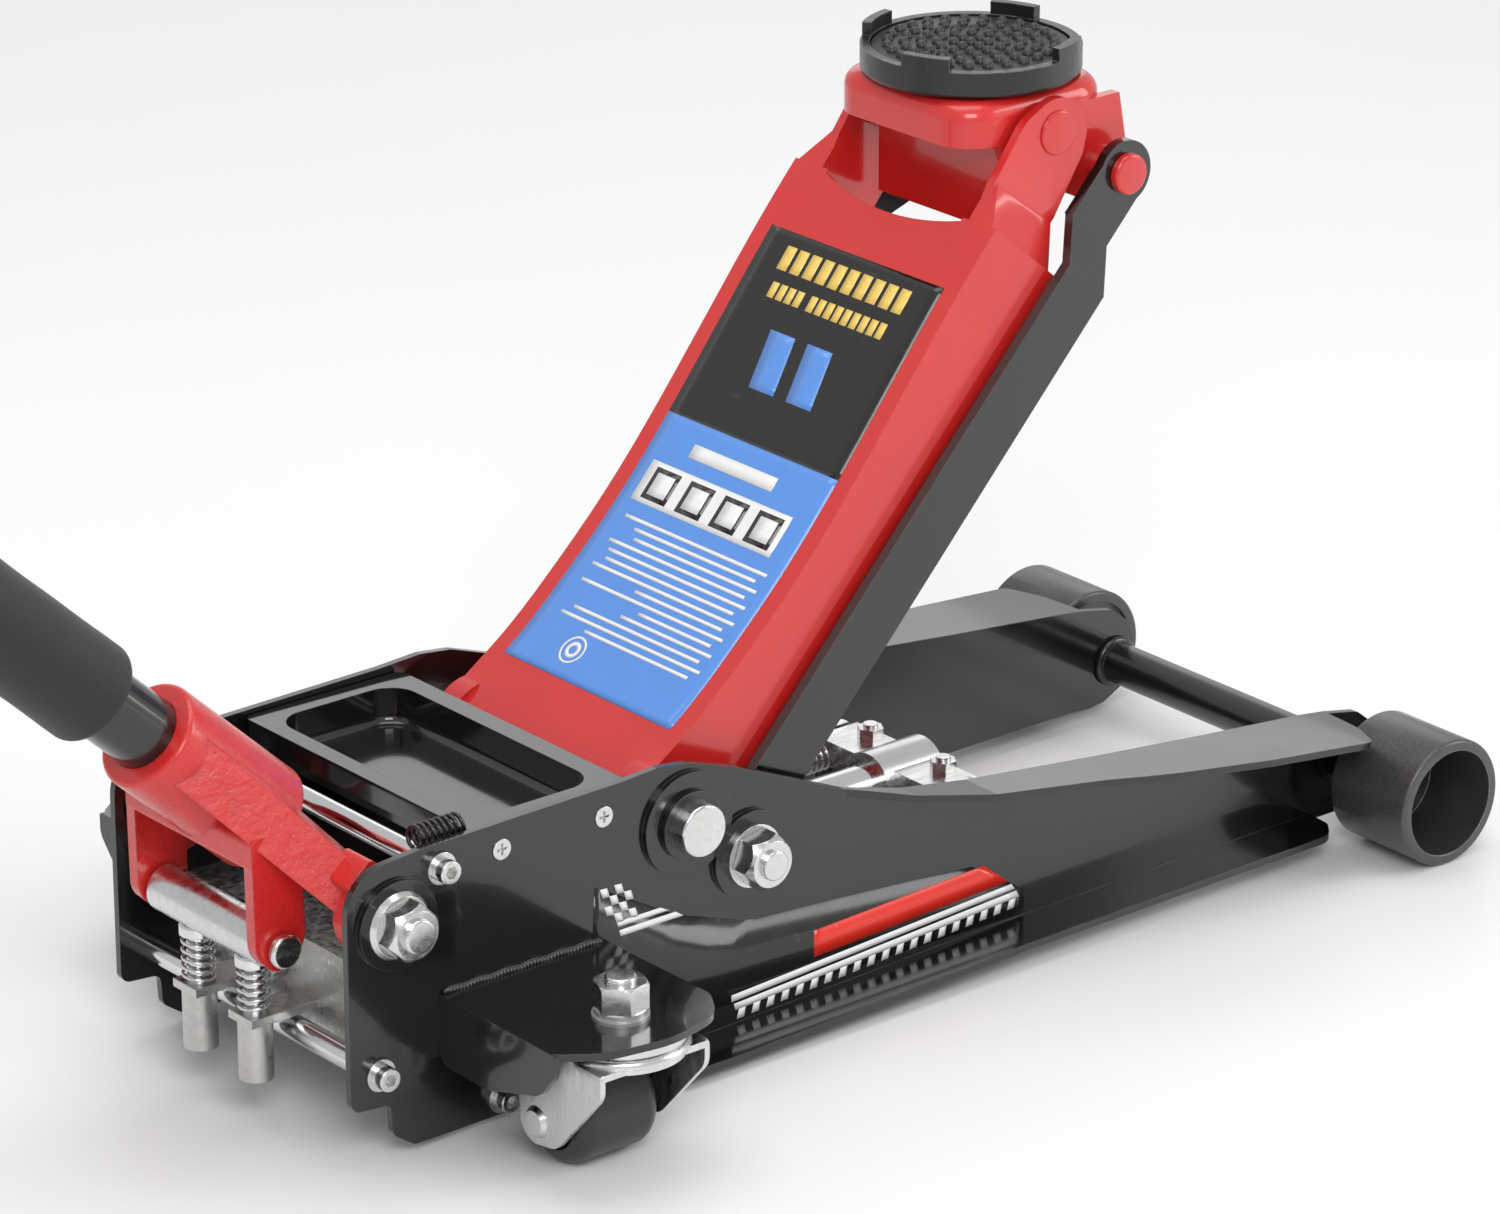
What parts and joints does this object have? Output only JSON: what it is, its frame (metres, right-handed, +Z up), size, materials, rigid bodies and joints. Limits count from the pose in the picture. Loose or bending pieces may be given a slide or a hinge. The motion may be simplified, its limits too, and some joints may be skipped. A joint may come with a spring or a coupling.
{
  "type": "hydraulic floor jack",
  "caption": "Low-profile hydraulic floor jack: black plate frame, red lift arm with round saddle, twin pump plungers, steel front wheels, rear swivel casters, padded handle",
  "frame": {"origin": "on the floor, under the centre of the bounding box, wheels standing on Z = 0", "axes": "+X toward the saddle and front wheels, +Y to the jack's left, +Z up"},
  "size_m": [1.5499, 0.426, 0.9492],
  "materials": {
    "black_paint": "gloss",
    "red_paint": "gloss",
    "cast_red": "satin",
    "chrome": "polished",
    "zinc": "satin",
    "black_oxide": "satin",
    "wheel_steel": "satin",
    "caster_tyre": "matte",
    "saddle_black": "satin",
    "pad_rubber": "matte",
    "foam": "matte",
    "grip": "matte",
    "handle_paint": "gloss"
  },
  "bodies": {
    "frame": {"right_side_plate": "black_paint", "left_side_plate": "black_paint", "front_axle": "zinc", "retaining_rings": "black_oxide", "washers_and_spacers": "zinc", "tool_tray": "black_paint", "tray_screws": "zinc", "upper_tie_rod": "chrome", "lower_tie_rod": "chrome", "bottom_tie_bar": "chrome", "tie_rod_screws": "zinc", "right_caster_bracket": "black_paint", "left_caster_bracket": "black_paint", "caster_races": "zinc", "caster_kingpins": "zinc", "caster_nuts": "zinc", "caster_washers": "zinc", "lift_arm_shaft": "zinc", "link_pivot_bolts": "zinc", "pivot_nuts": "zinc", "yoke_pivot_bolts": "zinc", "pump_block": "black_paint", "ram_cylinder": "black_paint", "filler_plug": "zinc", "gland_nut": "zinc", "handle_spring": "black_oxide"},
    "right_wheel": {"right_front_wheel": "wheel_steel"},
    "left_wheel": {"left_front_wheel": "wheel_steel"},
    "right_fork": {"right_caster_fork": "zinc", "right_caster_axle": "zinc"},
    "left_fork": {"left_caster_fork": "zinc", "left_caster_axle": "zinc"},
    "right_roller": {"right_caster_wheel": "caster_tyre"},
    "left_roller": {"left_caster_wheel": "caster_tyre"},
    "arm": {"lift_arm": "red_paint", "bracket_pins": "red_paint"},
    "right_link": {"right_parallel_link": "black_paint"},
    "left_link": {"left_parallel_link": "black_paint"},
    "head": {"saddle_bracket": "red_paint", "link_top_pins": "red_paint"},
    "saddle": {"saddle": "saddle_black", "saddle_pad": "pad_rubber", "saddle_circlip": "black_oxide"},
    "ram": {"ram_rod": "chrome", "crosshead": "zinc", "crosshead_pins": "zinc", "drag_links": "zinc", "return_springs": "zinc"},
    "yoke": {"handle_yoke": "cast_red", "roller_pin": "zinc"},
    "pump_roller": {"pump_roller": "black_oxide"},
    "handle": {"handle_lower_tube": "handle_paint", "handle_foam_sleeve": "foam", "handle_upper_tube": "handle_paint", "handle_lock_bolt": "zinc", "handle_grip": "grip"},
    "release": {"release_valve": "zinc"},
    "plungers": {"pump_plungers": "chrome", "plunger_springs": "zinc"}
  },
  "joints": [
    {"name": "lift", "type": "hinge", "parent": "frame", "child": "arm", "pos_m": [0.26196, 0, 0.131], "axis": [0, -1, 0], "range_deg": [-57, 6]},
    {"name": "right_link_pivot", "type": "hinge", "parent": "frame", "child": "right_link", "pos_m": [0.30296, -0.087, 0.103], "axis": [0, -1, 0], "range_deg": [-57, 6]},
    {"name": "left_link_pivot", "type": "hinge", "parent": "frame", "child": "left_link", "pos_m": [0.30296, 0.087, 0.103], "axis": [0, -1, 0], "range_deg": [-57, 6]},
    {"name": "head_pivot", "type": "hinge", "parent": "arm", "child": "head", "pos_m": [0.54096, 0, 0.43], "axis": [0, -1, 0], "range_deg": [-6, 57]},
    {"name": "saddle_turn", "type": "hinge", "parent": "head", "child": "saddle", "pos_m": [0.53696, 0, 0.44], "axis": [0, 0, 1], "continuous": true},
    {"name": "ram_stroke", "type": "slide", "parent": "frame", "child": "ram", "axis": [1, 0, 0], "range_m": [-0.0596, 0.0065]},
    {"name": "handle_pivot", "type": "hinge", "parent": "frame", "child": "yoke", "pos_m": [0.07996, 0, 0.127], "axis": [0, -1, 0], "range_deg": [-20, 28]},
    {"name": "pump_roller_spin", "type": "hinge", "parent": "yoke", "child": "pump_roller", "pos_m": [0.04496, 0, 0.107], "axis": [0, 1, 0], "continuous": true},
    {"name": "handle_twist", "type": "hinge", "parent": "yoke", "child": "handle", "pos_m": [-0.02004, 0, 0.239], "axis": [-0.7292, 0, 0.6843], "range_deg": [-90, 90]},
    {"name": "release_turn", "type": "hinge", "parent": "frame", "child": "release", "pos_m": [0.07196, 0, 0.071], "axis": [1, 0, 0], "range_deg": [-90, 90]},
    {"name": "pump_stroke", "type": "slide", "parent": "frame", "child": "plungers", "axis": [0, 0, 1], "range_m": [-0.0156, 0.0112], "deforming": ["plunger_springs"]},
    {"name": "right_wheel_spin", "type": "hinge", "parent": "frame", "child": "right_wheel", "pos_m": [0.73896, -0.145, 0.036], "axis": [0, 1, 0], "continuous": true},
    {"name": "left_wheel_spin", "type": "hinge", "parent": "frame", "child": "left_wheel", "pos_m": [0.73896, 0.145, 0.036], "axis": [0, 1, 0], "continuous": true},
    {"name": "right_caster_swivel", "type": "hinge", "parent": "frame", "child": "right_fork", "pos_m": [0.15896, -0.178, 0.073], "axis": [0, 0, 1], "continuous": true},
    {"name": "right_caster_spin", "type": "hinge", "parent": "right_fork", "child": "right_roller", "pos_m": [0.15896, -0.154, 0.026], "axis": [1, 0, 0], "continuous": true},
    {"name": "left_caster_swivel", "type": "hinge", "parent": "frame", "child": "left_fork", "pos_m": [0.15896, 0.178, 0.073], "axis": [0, 0, 1], "continuous": true},
    {"name": "left_caster_spin", "type": "hinge", "parent": "left_fork", "child": "left_roller", "pos_m": [0.15896, 0.154, 0.026], "axis": [1, 0, 0], "continuous": true}
  ],
  "couplings": [
    {"joint": "right_link_pivot", "follows": "lift", "ratio": 1},
    {"joint": "left_link_pivot", "follows": "lift", "ratio": 1},
    {"joint": "head_pivot", "follows": "lift", "ratio": -1},
    {"joint": "ram_stroke", "follows": "lift", "m_per_rad": 0.0594},
    {"joint": "pump_stroke", "follows": "handle_pivot", "m_per_rad": -0.0315},
    {"joint": "release_turn", "follows": "handle_twist", "ratio": 1}
  ]
}
